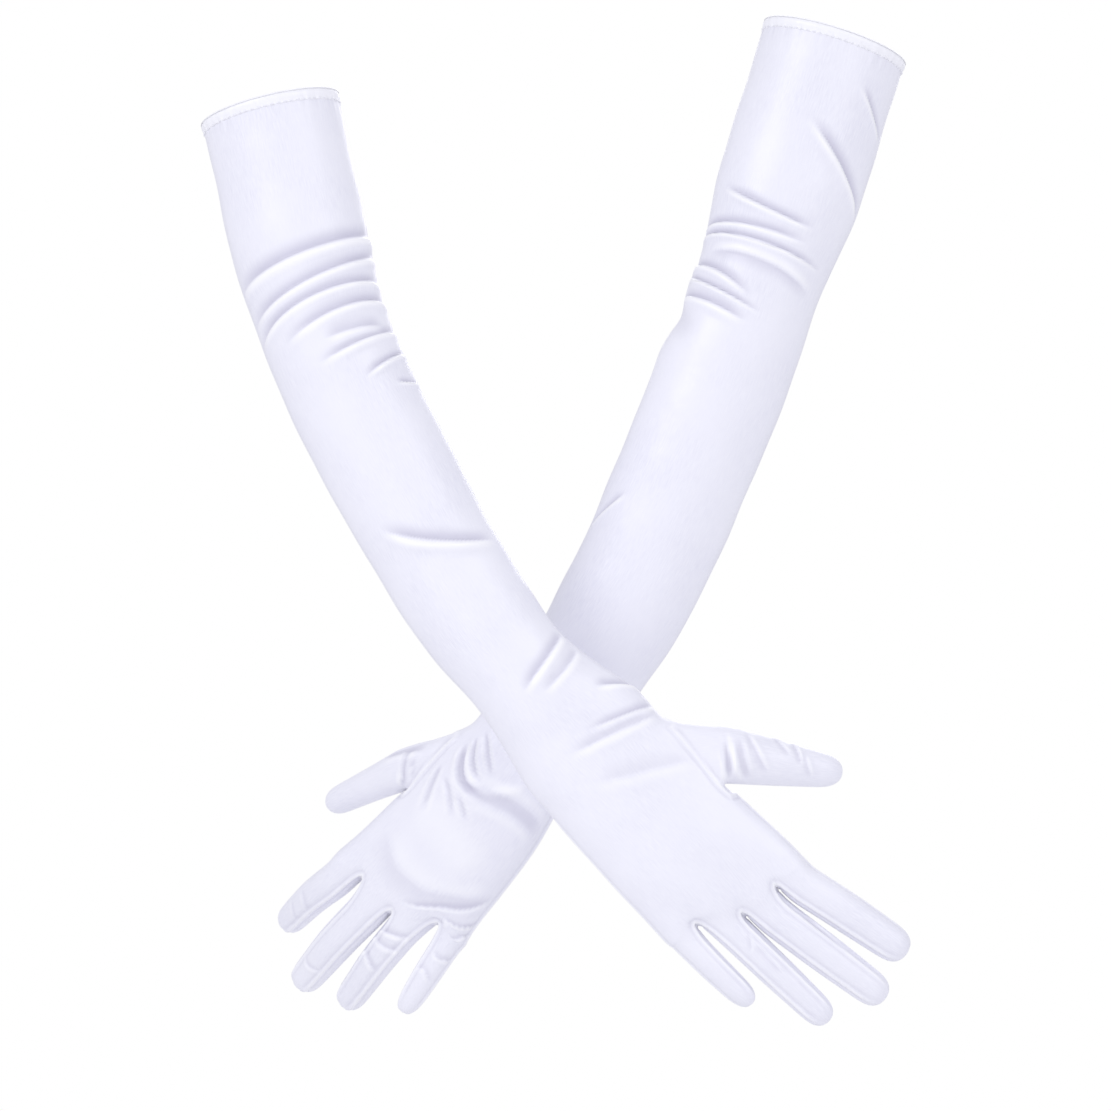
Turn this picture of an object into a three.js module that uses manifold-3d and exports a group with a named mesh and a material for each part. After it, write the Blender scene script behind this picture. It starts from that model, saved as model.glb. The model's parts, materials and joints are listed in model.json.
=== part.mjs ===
// A pair of opera-length satin gloves, held in the shape that the wearer's arms give them, one crossing in front of
// the other. Millimetres, +Z up, backs of the hands facing -Y. The origin is the centre of the left glove's arm
// opening. Each glove is cut and sewn from a back panel, a palm panel, a set-in thumb, six fourchettes (the strips
// between the fingers) and a turned hem with elastic in it. The panels are divided where the glove bends, and a
// gathered band of the same cloth bridges each bend.
import * as THREE from "three";
import Module from "manifold-3d";

const wasm = await Module();
wasm.setup();

// ---- Cloth and making up ----
const CLOTH = 0.8; // thickness of the stretch satin
const SEAM = 0.4; // clearance left between two edges that are sewn together
const HEM_HEIGHT = 9;
const HEM_CHANNEL = 1.2; // room for the elastic inside the turned hem
const ELASTIC = { thickness: 0.5, height: 5.5 };

// ---- Lengths of the bends, along the arm ----
const ELBOW_BAND = 60;
const WRIST_BAND = 22;
const KNUCKLE_BAND = 13;
const THUMB_BAND_END = 25;

// ---- Digits: where each leaves the hand (along the hand and across it, from the middle of the knuckle line), its
// length, its half widths at base, middle and tip, and the sides on which it has a fourchette ----
const FINGERS = {
  index: { at: [8, 28.3], length: 68, halfWidth: [9.5, 9.4, 8.3], strips: ["ulnar"] },
  middle: { at: [9.2, 8.2], length: 75, halfWidth: [9.7, 9.6, 8.2], strips: ["radial", "ulnar"] },
  ring: { at: [2.2, -10.8], length: 70, halfWidth: [8.8, 8.5, 7.2], strips: ["radial", "ulnar"] },
  little: { at: [-8, -30.4], length: 48, halfWidth: [7.2, 6.8, 5.8], strips: ["radial"] },
};
const FINGER_DEPTH = 0.92; // half depth over half width
const TIP_LENGTH = 9; // rounded end of a digit
const STRIP_SPREAD = 33; // half the angle that a fourchette takes at the finger's base, in degrees
const STRIP_SPREAD_END = 9;
const STRIP_STOP = 13; // a fourchette ends this far short of the fingertip
const THUMB = { length: 75, depth: 14 };

// ---- The two gloves. Each link of an arm is [length, angle, tilt]: angles are degrees from straight down, towards the
// thumb side, and tilt is away from the viewer. A girth is [half width, half depth] ----
const PLANE = 32; // each glove lies this far from the middle plane of the pair
const RIGHT = {
  name: "right",
  mirror: 1,
  cuff: [-283, -2 * PLANE, -38.8],
  links: [[114, 14.2, -8], [160.3, 27.9], [94.1, 41.1], [99, 43.5]],
  girth: {
    cuff: [34.2, 32.5],
    aboveElbow: [34, 31.5],
    elbow: [31.5, 30],
    forearm: [31.8, 28.5],
    lowerForearm: [29.5, 25.5],
    narrowest: [27.2, 22.5],
    wrist: [36.5, 18.5],
    palm: [37.5, 16],
    knuckles: [38.6, 13.5],
  },
  roll: 0,
  spread: 1,
  splay: { index: 13.1, middle: 9.6, ring: 2.9, little: 2.1 },
  tilt: { index: -2, middle: -2, ring: -2, little: 0 },
  curl: 12,
  thumb: { along: 28.5, splay: 37, tilt: 8, curl: 10, halfWidth: [16, 12, 7.6] },
};
const LEFT = {
  name: "left",
  mirror: -1,
  cuff: [0, 0, 0],
  links: [[129.5, 17.9, -7], [167.8, 22.6], [99.8, 33.2], [101.4, 40, 14]],
  girth: {
    cuff: [36.6, 34],
    aboveElbow: [36.5, 33],
    elbow: [31.5, 30],
    forearm: [33.5, 29.5],
    lowerForearm: [32.5, 27],
    narrowest: [31, 24],
    wrist: [30, 19],
    palm: [36.5, 16],
    knuckles: [40.6, 13.5],
  },
  roll: -16,
  spread: 1.08,
  splay: { index: 17.5, middle: 8.2, ring: 4, little: -7.8 },
  tilt: { index: 19, middle: 8, ring: 7, little: -18 },
  curl: 34,
  thumb: { along: 35, splay: 27, tilt: 14, curl: 14, halfWidth: [12.4, 9.2, 7] },
};

const SATIN = new THREE.MeshStandardMaterial({ color: 0xf4f4fb, roughness: 0.38, metalness: 0 });
const GATHERED_SATIN = new THREE.MeshStandardMaterial({ color: 0xececf6, roughness: 0.42, metalness: 0 });
const ELASTIC_RUBBER = new THREE.MeshStandardMaterial({ color: 0xf7f6f0, roughness: 0.7, metalness: 0 });

const TOWARDS_VIEWER = new THREE.Vector3(0, -1, 0);
const radians = THREE.MathUtils.degToRad;
const lerp = THREE.MathUtils.lerp;
const smooth = (x, low, high) => THREE.MathUtils.smoothstep(x, low, high);

// A unit vector at an angle from straight down towards the thumb, and tilted away from the viewer.
function heading(degrees, tilt = 0) {
  const flat = new THREE.Vector3(Math.sin(radians(degrees)), 0, -Math.cos(radians(degrees)));
  return flat.multiplyScalar(Math.cos(radians(tilt))).addScaledVector(TOWARDS_VIEWER, -Math.sin(radians(tilt)));
}

// A smooth value along a length, through stations of [distance, value, value].
function profile(stations) {
  return (s) => {
    let i = 0;
    while (i < stations.length - 2 && s > stations[i + 1][0]) i++;
    const [from, to] = [stations[i], stations[i + 1]];
    const share = smooth(s, from[0], to[0]);
    return [lerp(from[1], to[1], share), lerp(from[2], to[2], share)];
  };
}

// ---- Limbs: soft tubes, each with a frame and half sizes at every distance along it ----

// The sleeve and hand: one smooth curve through the cuff, elbow, mid forearm, wrist and knuckles.
function makeArm(glove) {
  const points = [new THREE.Vector3()];
  const stops = [0];
  for (const [length, angle, tilt] of glove.links) {
    points.push(points.at(-1).clone().addScaledVector(heading(angle, tilt), length));
    stops.push(stops.at(-1) + length);
  }
  const curve = new THREE.CatmullRomCurve3(points, false, "centripetal");
  curve.arcLengthDivisions = 400;
  const length = curve.getLength();
  const stretch = length / stops.at(-1); // the curve is a little longer than its chords
  const [, elbow, middle, wrist, knuckles] = stops.map((s) => s * stretch);
  const { girth } = glove;
  const size = profile([
    [0, ...girth.cuff],
    [elbow * 0.6, ...girth.aboveElbow],
    [elbow, ...girth.elbow],
    [elbow + 55, ...girth.forearm],
    [middle, ...girth.lowerForearm],
    [wrist - 62, ...girth.narrowest],
    [wrist - 8, ...girth.wrist],
    [wrist + 45, ...girth.palm],
    [knuckles, ...girth.knuckles],
  ]);
  const frame = (s) => {
    const centre = curve.getPointAt(THREE.MathUtils.clamp(s / length, 0, 1));
    const along = curve.getTangentAt(THREE.MathUtils.clamp(s / length, 0, 1));
    centre.addScaledVector(along, Math.max(0, s - length)); // straight on past the knuckles
    const roll = radians(glove.roll) * smooth(s, middle, wrist);
    const side = TOWARDS_VIEWER.clone().cross(along).normalize().applyAxisAngle(along, roll);
    return { centre, along, side, back: along.clone().cross(side) };
  };
  return { frame, size, elbow, wrist, knuckles };
}

// A finger or thumb: a tube that curls in its own plane, from a root point. It takes up its tilt over the first
// millimetres, where the knuckle band is, and its curl over its whole length.
function makeDigit(root, outwards, side, { length, tilt, curl, halfWidth }) {
  const palmwards = side.clone().cross(outwards).normalize();
  const bend = (s) => radians(tilt * smooth(s, 0, KNUCKLE_BAND) + (curl * s) / length);
  const step = 0.5;
  const centres = [root.clone()];
  const direction = (s) =>
    outwards.clone().multiplyScalar(Math.cos(bend(s))).addScaledVector(palmwards, Math.sin(bend(s)));
  for (let s = step; s <= length + step; s += step)
    centres.push(centres.at(-1).clone().addScaledVector(direction(s - step / 2), step));
  const frame = (s) => {
    const i = THREE.MathUtils.clamp(Math.floor(s / step), 0, centres.length - 2);
    const along = direction(s);
    const centre = centres[i].clone().addScaledVector(direction(i * step), s - i * step);
    return { centre, along, side, back: along.clone().cross(side) };
  };
  const size = (s) => {
    const width =
      s < length / 2
        ? lerp(halfWidth[0], halfWidth[1], Math.max(0, s) / (length / 2))
        : lerp(halfWidth[1], halfWidth[2], s / (length / 2) - 1);
    const intoTip = Math.max(0, s - (length - TIP_LENGTH)) / TIP_LENGTH;
    const half = width * Math.sqrt(Math.max(0.02, 1 - intoTip * intoTip));
    return [half, half * FINGER_DEPTH];
  };
  return { frame, size, length };
}

// A point of a limb: theta runs from the thumb side (0) over the back (90) and the little-finger side (180).
function limbPoint(limb, s, theta, inset) {
  const { centre, side, back } = limb.frame(s);
  const [halfWidth, halfDepth] = limb.size(s);
  return centre
    .addScaledVector(side, (halfWidth - inset) * Math.cos(radians(theta)))
    .addScaledVector(back, (halfDepth - inset) * Math.sin(radians(theta)));
}

// ---- Closed solids of cloth ----

// A closed solid from two matching grids of points, an outer and an inner one. The rows are closed rings if wrap is
// set, and the last row is closed by a cap if tip is set.
function shellGeometry(outer, inner, { wrap = false, tip = false }) {
  const rows = outer.length;
  const columns = outer[0].length;
  const positions = [];
  for (const grid of [outer, inner]) for (const row of grid) for (const p of row) positions.push(p.x, p.y, p.z);
  const triangles = [];
  const at = (layer, i, j) => (layer * rows + i) * columns + (j % columns);
  const quad = (a, b, c, d) => triangles.push(a, b, c, a, c, d);
  const lastColumn = wrap ? columns : columns - 1;
  for (let i = 0; i < rows - 1; i++)
    for (let j = 0; j < lastColumn; j++) {
      quad(at(0, i, j), at(0, i, j + 1), at(0, i + 1, j + 1), at(0, i + 1, j));
      quad(at(1, i, j), at(1, i + 1, j), at(1, i + 1, j + 1), at(1, i, j + 1));
    }
  for (let j = 0; j < lastColumn; j++) {
    quad(at(0, 0, j), at(1, 0, j), at(1, 0, j + 1), at(0, 0, j + 1));
    if (!tip) quad(at(0, rows - 1, j), at(0, rows - 1, j + 1), at(1, rows - 1, j + 1), at(1, rows - 1, j));
  }
  if (!wrap)
    for (let i = 0; i < rows - 1; i++) {
      quad(at(0, i, 0), at(0, i + 1, 0), at(1, i + 1, 0), at(1, i, 0));
      quad(at(0, i, columns - 1), at(1, i, columns - 1), at(1, i + 1, columns - 1), at(0, i + 1, columns - 1));
    }
  if (tip)
    for (const layer of [0, 1]) {
      const row = (layer ? inner : outer).at(-1);
      const middle = row.reduce((sum, p) => sum.add(p), new THREE.Vector3()).divideScalar(columns);
      const hub = positions.length / 3;
      positions.push(middle.x, middle.y, middle.z);
      for (let j = 0; j < columns; j++) {
        const [a, b] = [at(layer, rows - 1, j), at(layer, rows - 1, j + 1)];
        triangles.push(...(layer ? [b, a, hub] : [a, b, hub]));
      }
    }
  const geometry = new THREE.BufferGeometry();
  geometry.setAttribute("position", new THREE.Float32BufferAttribute(positions, 3));
  geometry.setIndex(triangles);
  geometry.computeVertexNormals();
  return geometry;
}

const fixed = (value) => (typeof value === "function" ? value : () => value);

// A panel of a limb: from start to end along it, and between two angles round it. Each limit may vary along the
// other direction. The seam allowance is taken off both long edges.
function panel(limb, { start, end, from, to, rows, columns, thickness = CLOTH, inset = 0 }) {
  const [low, high, startAt, endAt] = [from, to, start, end].map(fixed);
  const grid = (depth) =>
    Array.from({ length: rows + 1 }, (_, i) =>
      Array.from({ length: columns + 1 }, (_, j) => {
        const [a, b] = [startAt(0), endAt(0)];
        const middle = lerp(a, b, i / rows);
        const edge = THREE.MathUtils.radToDeg(SEAM / 2 / limb.size(middle)[1]);
        const theta = lerp(low(middle) + edge, high(middle) - edge, j / columns);
        return limbPoint(limb, lerp(startAt(theta), endAt(theta), i / rows), theta, depth);
      }),
    );
  return shellGeometry(grid(inset), grid(inset + thickness), {});
}

// A tube of a limb, open at both ends, or closed at its far end.
function tube(limb, { start, end, rows, sides, thickness = CLOTH, inset = 0, tip = false }) {
  const [startAt, endAt] = [start, end].map(fixed);
  const grid = (depth, stop) =>
    Array.from({ length: rows + 1 }, (_, i) =>
      Array.from({ length: sides }, (_, j) => {
        const theta = (360 * j) / sides;
        return limbPoint(limb, lerp(startAt(theta), endAt(theta) - stop, i / rows), theta, depth);
      }),
    );
  return shellGeometry(grid(inset, 0), grid(inset + thickness, tip ? thickness : 0), { wrap: true, tip });
}

// A solid rod that fills a limb, grown by a margin all round, for cutting its neighbours.
function rod(limb, { start, end, rows, sides, margin }) {
  const rings = Array.from({ length: rows + 1 }, (_, i) => {
    const s = lerp(start, end, i / rows);
    return Array.from({ length: sides }, (_, j) => limbPoint(limb, s, (360 * j) / sides, -margin));
  });
  const positions = rings.flat().flatMap((p) => p.toArray());
  const hubs = [limb.frame(start).centre, limb.frame(end).centre];
  for (const hub of hubs) positions.push(...hub.toArray());
  const firstHub = rings.length * sides;
  const triangles = [];
  for (let j = 0; j < sides; j++) {
    const next = (j + 1) % sides;
    for (let i = 0; i < rows; i++) {
      const [a, b] = [i * sides, (i + 1) * sides];
      triangles.push(a + j, a + next, b + next, a + j, b + next, b + j);
    }
    triangles.push(firstHub, next, j, firstHub + 1, rows * sides + j, rows * sides + next);
  }
  const geometry = new THREE.BufferGeometry();
  geometry.setAttribute("position", new THREE.Float32BufferAttribute(positions, 3));
  geometry.setIndex(triangles);
  return geometry;
}

// One closed geometry with another taken away from it.
function cut(geometry, tool) {
  const [solid, cutter] = [geometry, tool].map((g) => {
    const triVerts = new Uint32Array(g.index.array);
    return new wasm.Manifold(
      new wasm.Mesh({ numProp: 3, vertProperties: g.attributes.position.array, triVerts }),
    );
  });
  const pieces = solid.subtract(cutter).decompose();
  const kept = pieces.reduce((best, piece) => (piece.volume() > best.volume() ? piece : best));
  const mesh = kept.getMesh();
  const made = new THREE.BufferGeometry();
  made.setAttribute("position", new THREE.Float32BufferAttribute(mesh.vertProperties, 3));
  made.setIndex([...mesh.triVerts]);
  made.computeVertexNormals();
  return made;
}

// The turned hem: an outer wall, a fold at the top and an inner wall, with a channel that opens downwards.
function hem(arm) {
  const sides = 32;
  const across = CLOTH * 2 + HEM_CHANNEL;
  const ring = (s, inset) =>
    Array.from({ length: sides }, (_, j) => limbPoint(arm, s, (360 * j) / sides, inset));
  const outer = [ring(HEM_HEIGHT, 0), ring(1.2, 0), ring(0, 1), ring(0, across - 1), ring(1.2, across)];
  outer.push(ring(HEM_HEIGHT, across));
  const inner = [ring(HEM_HEIGHT, CLOTH), ring(CLOTH + 0.6, CLOTH), ring(CLOTH + 0.2, CLOTH + 0.4)];
  inner.push(ring(CLOTH + 0.2, across - CLOTH - 0.4), ring(CLOTH + 0.6, across - CLOTH));
  inner.push(ring(HEM_HEIGHT, across - CLOTH));
  return shellGeometry(inner, outer, { wrap: true });
}

// ---- One glove ----

// A body is a group whose own origin is its joint's pivot. Its pieces are modelled in the glove's frame.
function makeBody(glove, name, pivot, parent) {
  const body = new THREE.Group();
  body.name = `${glove.name}_${name}_body`;
  body.userData.pivot = pivot;
  body.position.copy(pivot);
  if (parent) body.position.sub(parent.userData.pivot);
  if (parent) parent.add(body);
  return body;
}

function addPiece(body, glove, name, geometry, material = SATIN) {
  const mesh = new THREE.Mesh(geometry, material);
  mesh.name = `${glove.name}_${name}`;
  mesh.position.copy(body.userData.pivot).negate();
  body.add(mesh);
}

// The upper sleeve with its hem and elastic, then the gathered elbow band.
function addUpperSleeve(glove, arm, body) {
  const end = arm.elbow - ELBOW_BAND / 2 - SEAM;
  const start = HEM_HEIGHT + SEAM;
  addPiece(body, glove, "cuff_hem", hem(arm));
  const elasticStart = CLOTH + 0.6;
  const inset = CLOTH + (HEM_CHANNEL - ELASTIC.thickness) / 2;
  const elastic = { start: elasticStart, end: elasticStart + ELASTIC.height, rows: 1, sides: 32, inset };
  addPiece(body, glove, "cuff_elastic", tube(arm, { ...elastic, thickness: ELASTIC.thickness }), ELASTIC_RUBBER);
  const sleeve = { start, end, rows: 5, columns: 10 };
  addPiece(body, glove, "upper_back_panel", panel(arm, { ...sleeve, from: 0, to: 180 }));
  addPiece(body, glove, "upper_palm_panel", panel(arm, { ...sleeve, from: 180, to: 360 }));
  const band = { start: end + SEAM, end: arm.elbow + ELBOW_BAND / 2, rows: 4, sides: 20 };
  addPiece(body, glove, "elbow_band", tube(arm, band), GATHERED_SATIN);
}

function addForearm(glove, arm, body) {
  const start = arm.elbow + ELBOW_BAND / 2 + SEAM;
  const end = arm.wrist - WRIST_BAND / 2 - SEAM;
  const sleeve = { start, end, rows: 8, columns: 10 };
  addPiece(body, glove, "forearm_back_panel", panel(arm, { ...sleeve, from: 0, to: 180 }));
  addPiece(body, glove, "forearm_palm_panel", panel(arm, { ...sleeve, from: 180, to: 360 }));
  const band = { start: end + SEAM, end: arm.wrist + WRIST_BAND / 2, rows: 2, sides: 20 };
  addPiece(body, glove, "wrist_band", tube(arm, band), GATHERED_SATIN);
}

// The hand's two panels end in a curve just short of the fingers, and are cut away where the thumb is set in.
function addHand(glove, arm, thumb, body) {
  const fingerLine = (theta) => {
    const across = glove.girth.knuckles[0] * Math.cos(radians(theta));
    return arm.knuckles + 3.4 + 0.2 * across - 0.0055 * across * across;
  };
  const hand = { start: arm.wrist + WRIST_BAND / 2 + SEAM, end: fingerLine, rows: 10, columns: 12 };
  const hole = rod(thumb, { start: -THUMB.depth, end: THUMB_BAND_END, rows: 3, sides: 16, margin: SEAM });
  addPiece(body, glove, "hand_back_panel", cut(panel(arm, { ...hand, from: 0, to: 180 }), hole));
  addPiece(body, glove, "hand_palm_panel", cut(panel(arm, { ...hand, from: 180, to: 360 }), hole));
}

// Half the angle that the fourchette takes on one side of a finger, at each distance along it.
function stripSpread(finger, side) {
  const stop = finger.length - STRIP_STOP;
  if (!finger.strips.includes(side)) return () => 0;
  return (s) => {
    const inStrip = lerp(STRIP_SPREAD, STRIP_SPREAD_END, THREE.MathUtils.clamp(s / stop, 0, 1));
    return inStrip * (1 - smooth(s, stop, stop + 6));
  };
}

function addFinger(glove, arm, hand, name) {
  const finger = FINGERS[name];
  const { centre, along, side, back } = arm.frame(arm.knuckles);
  const [ahead, offset] = finger.at;
  const root = centre.addScaledVector(along, ahead).addScaledVector(side, offset * glove.spread);
  const splay = radians(glove.splay[name]);
  const outwards = along.clone().applyAxisAngle(back, splay);
  const across = side.clone().applyAxisAngle(back, splay);
  const shape = { ...finger, tilt: glove.tilt[name], curl: glove.curl };
  const limb = makeDigit(root, outwards, across, shape);
  const body = makeBody(glove, name, limb.frame(KNUCKLE_BAND / 2).centre, hand);
  body.userData.axis = across;
  const band = { start: 0.8, end: KNUCKLE_BAND, rows: 2, sides: 12 };
  addPiece(hand, glove, `${name}_knuckle_band`, tube(limb, band), GATHERED_SATIN);
  const start = KNUCKLE_BAND + SEAM;
  const [radial, ulnar] = ["radial", "ulnar"].map((s) => stripSpread(finger, s));
  const cloth = { start, end: finger.length - 0.4, rows: 11, columns: 4 };
  addPiece(body, glove, `${name}_back_panel`, panel(limb, { ...cloth, from: radial, to: (s) => 180 - ulnar(s) }));
  const palm = { ...cloth, from: (s) => 180 + ulnar(s), to: (s) => 360 - radial(s) };
  addPiece(body, glove, `${name}_palm_panel`, panel(limb, palm));
  const strip = { start, end: finger.length - STRIP_STOP, rows: 6, columns: 2 };
  for (const where of finger.strips) {
    const middle = where === "radial" ? 0 : 180;
    const spread = where === "radial" ? radial : ulnar;
    const limits = { from: (s) => middle - spread(s), to: (s) => middle + spread(s) };
    addPiece(body, glove, `${name}_${where}_fourchette`, panel(limb, { ...strip, ...limits }));
  }
}

// The thumb's limb leaves the hand's edge at a slant, from a root inside the hand.
function makeThumb(glove, arm) {
  const station = arm.wrist + glove.thumb.along;
  const { centre, along, side, back } = arm.frame(station);
  const edge = arm.size(station)[0];
  const root = centre.addScaledVector(side, edge + 1);
  const splay = radians(glove.thumb.splay);
  const outwards = along.clone().applyAxisAngle(back, splay);
  const across = side.clone().applyAxisAngle(back, splay);
  return makeDigit(root, outwards, across, { ...THUMB, ...glove.thumb });
}

// The gathered band at the thumb's base is trimmed to the hand, so the two meet along one slanting seam.
function addThumb(glove, arm, thumb, hand) {
  const pivot = thumb.frame(THUMB_BAND_END - 3).centre;
  const body = makeBody(glove, "thumb", pivot, hand);
  body.userData.axis = thumb.frame(0).side;
  const [start, end] = [arm.wrist + WRIST_BAND / 2, arm.knuckles];
  const handRod = rod(arm, { start: start - 10, end, rows: 10, sides: 24, margin: SEAM });
  const band = { start: -THUMB.depth, end: THUMB_BAND_END, rows: 5, sides: 16 };
  addPiece(hand, glove, "thumb_gusset_band", cut(tube(thumb, band), handRod), GATHERED_SATIN);
  const cloth = { start: THUMB_BAND_END + SEAM, end: THUMB.length - 0.4, rows: 8, sides: 16, tip: true };
  addPiece(body, glove, "thumb", tube(thumb, cloth));
}

function makeGlove(glove) {
  const arm = makeArm(glove);
  const pivot = (s) => arm.frame(s).centre;
  const upper = makeBody(glove, "upper", pivot(0));
  const forearm = makeBody(glove, "forearm", pivot(arm.elbow), upper);
  const hand = makeBody(glove, "hand", pivot(arm.wrist), forearm);
  forearm.userData.axis = arm.frame(arm.elbow).back;
  hand.userData.axis = arm.frame(arm.wrist).side;
  addUpperSleeve(glove, arm, upper);
  addForearm(glove, arm, forearm);
  const thumb = makeThumb(glove, arm);
  addHand(glove, arm, thumb, hand);
  addThumb(glove, arm, thumb, hand);
  for (const name of Object.keys(FINGERS)) addFinger(glove, arm, hand, name);
  const group = new THREE.Group();
  group.name = `${glove.name}_glove`;
  group.add(upper);
  group.position.set(...glove.cuff);
  group.scale.x = glove.mirror;
  return group;
}

const gloves = new THREE.Group();
gloves.name = "opera_gloves";
gloves.add(makeGlove(LEFT), makeGlove(RIGHT));

export default gloves;
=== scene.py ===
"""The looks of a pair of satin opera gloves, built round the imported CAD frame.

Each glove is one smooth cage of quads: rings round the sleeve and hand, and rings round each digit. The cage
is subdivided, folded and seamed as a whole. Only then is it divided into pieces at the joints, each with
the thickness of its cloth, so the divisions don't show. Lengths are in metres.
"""

import json
import math

import bpy
import numpy as np
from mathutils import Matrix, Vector
from mathutils.kdtree import KDTree


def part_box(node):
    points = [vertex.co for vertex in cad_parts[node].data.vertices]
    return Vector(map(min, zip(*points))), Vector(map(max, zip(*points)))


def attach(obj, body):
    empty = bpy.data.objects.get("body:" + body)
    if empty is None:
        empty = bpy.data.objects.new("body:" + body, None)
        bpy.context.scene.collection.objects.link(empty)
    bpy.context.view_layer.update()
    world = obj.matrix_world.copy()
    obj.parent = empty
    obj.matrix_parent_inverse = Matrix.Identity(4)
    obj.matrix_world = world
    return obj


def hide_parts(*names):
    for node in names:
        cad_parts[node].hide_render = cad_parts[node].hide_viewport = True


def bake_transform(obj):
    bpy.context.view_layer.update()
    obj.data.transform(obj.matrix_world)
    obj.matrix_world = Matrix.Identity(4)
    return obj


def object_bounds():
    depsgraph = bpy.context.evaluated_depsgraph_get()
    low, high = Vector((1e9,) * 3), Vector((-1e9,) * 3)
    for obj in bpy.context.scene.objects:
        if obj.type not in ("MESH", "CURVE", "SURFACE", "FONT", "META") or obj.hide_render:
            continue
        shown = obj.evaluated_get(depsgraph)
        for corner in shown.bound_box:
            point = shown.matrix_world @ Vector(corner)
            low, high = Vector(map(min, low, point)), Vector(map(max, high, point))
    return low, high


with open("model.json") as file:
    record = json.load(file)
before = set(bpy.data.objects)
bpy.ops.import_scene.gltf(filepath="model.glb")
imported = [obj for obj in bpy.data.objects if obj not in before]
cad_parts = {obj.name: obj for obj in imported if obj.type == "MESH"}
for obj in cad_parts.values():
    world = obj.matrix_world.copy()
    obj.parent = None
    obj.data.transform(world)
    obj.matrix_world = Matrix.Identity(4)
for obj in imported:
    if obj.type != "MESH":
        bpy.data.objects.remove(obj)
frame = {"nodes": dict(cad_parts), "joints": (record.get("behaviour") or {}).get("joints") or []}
cad_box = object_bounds()

MM = 0.001
VIEWER = np.array([0.0, -1.0, 0.0])
FINGERS = ("index", "middle", "ring", "little")
DIGITS = (*FINGERS, "thumb")

# ---- Cloth ----
CLOTH = 0.5 * MM
SLEEVE_RADIUS = 31 * MM
DIGIT_RADIUS = 9 * MM
SEAM_HEIGHT = 0.65 * MM
SEAM_WIDTH = 1.0 * MM
RUMPLE = 0.4 * MM  # the height of the cloth's slow unevenness
# Painted shade: a fold this high gets the full painted shade in its groove and the full painted highlight on
# its ridge.
FULL_SHADE = 1.15  # a fold this high, in mm, is as dark as cloth gets

# ---- Hem ----
HEM_MIDDLE = 4.5 * MM  # from the arm opening to the middle of the hem
STITCH_LINE = 5.5 * MM  # from the arm opening
STITCH_PITCH = 3.2 * MM
PUCKER = 0.35 * MM
ROLL = 0.9 * MM  # how far the rolled hem stands out of the sleeve
HEM_COLUMNS = 240

# ---- Colours of the satin, and of its painted sheen, shade and highlight ----
# Painted sheen: the satin's colour drifts between these two in broad patches, standing in for its soft sheen.
PAINTED_SHEEN_DIM = (0.80, 0.80, 0.885, 1)
PAINTED_SHEEN_BRIGHT = (0.875, 0.875, 0.94, 1)
STREAK = (0.89, 0.89, 0.95, 1)
SHADOW = (0.62, 0.61, 0.72, 1)  # inside a fold
SHINE = (0.98, 0.98, 1, 1)  # on a ridge

# ---- Half sizes (width, depth) of each glove's sleeve and hand, from its cuff to its knuckles, in mm ----
GIRTHS = {
    "right": {
        "cuff": (34.2, 32.5),
        "above elbow": (34, 31.5),
        "elbow": (31.5, 30),
        "forearm": (31.8, 28.5),
        "lower forearm": (29.5, 25.5),
        "narrowest": (27.2, 22.5),
        "wrist": (36.5, 18.5),
        "palm": (37.5, 16),
        "knuckles": (38.6, 12.5),
    },
    "left": {
        "cuff": (36.6, 34),
        "above elbow": (36.5, 33),
        "elbow": (31.5, 30),
        "forearm": (33.5, 29.5),
        "lower forearm": (32.5, 27),
        "narrowest": (31, 24),
        "wrist": (30, 19),
        "palm": (36.5, 16),
        "knuckles": (38.5, 12.5),
    },
}

# ---- Half widths of the digits at base, middle and tip, in mm ----
DIGIT_WIDTHS = {
    "right": {
        "index": (9.7, 9.6, 8.6),
        "middle": (10, 9.8, 8.4),
        "ring": (9, 8.6, 7.4),
        "little": (7.4, 6.8, 5.8),
        "thumb": (16.2, 12, 7.2),
    },
    "left": {
        "index": (9.2, 8.5, 7.5),
        "middle": (10.3, 9.8, 8.2),
        "ring": (9.3, 8.8, 7.5),
        "little": (7.4, 7.0, 5.6),
        "thumb": (12, 8.8, 6.8),
    },
}
DIGIT_DEPTH = 0.92
TIP = 9 * MM
FINGER_ROOT, THUMB_ROOT = 6.5 * MM, 25 * MM  # length of a digit before its joint

# ---- The cage ----
RING = 20  # columns round the sleeve: 0 is the thumb side, 5 the back, 10 the little-finger side, 15 the palm
SLEEVE_ROW = 8.5 * MM
ELBOW_ROW = 6.5 * MM
DIGIT_ROW = 7 * MM
LEVELS = 3
THUMB_ROWS = 4  # rows of the hand that the thumb's hole takes
THUMB_HOLE = (8 * MM, 54 * MM)  # from the wrist along the hand
HOLE_RISE, HOLE_FALL = 20 * MM, 15 * MM  # lengths over which the hand's columns part and close round the hole
HOLE_PARTING = math.radians(11)
CROTCH = {  # from the neighbouring knuckles back to each crotch
    "right": (13 * MM, 11 * MM, 16 * MM),
    "left": (18 * MM, 10 * MM, 16 * MM),
}
ARM, HAND = 0, 6  # zones of the cage; 1 to 4 are the fingers and 5 the thumb
THUMB_ZONE = 5

# ---- The pieces: the CAD nodes that they stand for, and the mm before and after each joint ----
SLEEVE_NODES = (
    "upper_back_panel",
    "upper_palm_panel",
    "elbow_band",
    "forearm_back_panel",
    "forearm_palm_panel",
)
HAND_NODES = ("wrist_band", "hand_back_panel", "hand_palm_panel")
ELBOW_BEND = (30, 30)
WRIST_BEND = (18, 6)
FINGER_BEND = (4, 10)
THUMB_BEND = (12, 6)


def unit(v):
    return v / np.linalg.norm(v)


def joint(name):
    return next(j for j in frame["joints"] if j["name"] == name)


def pivot(name):
    return np.array(joint(name)["pos_m"])


def cad_points(*nodes):
    return np.array([v.co for n in nodes for v in frame["nodes"][n].data.vertices])


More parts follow.
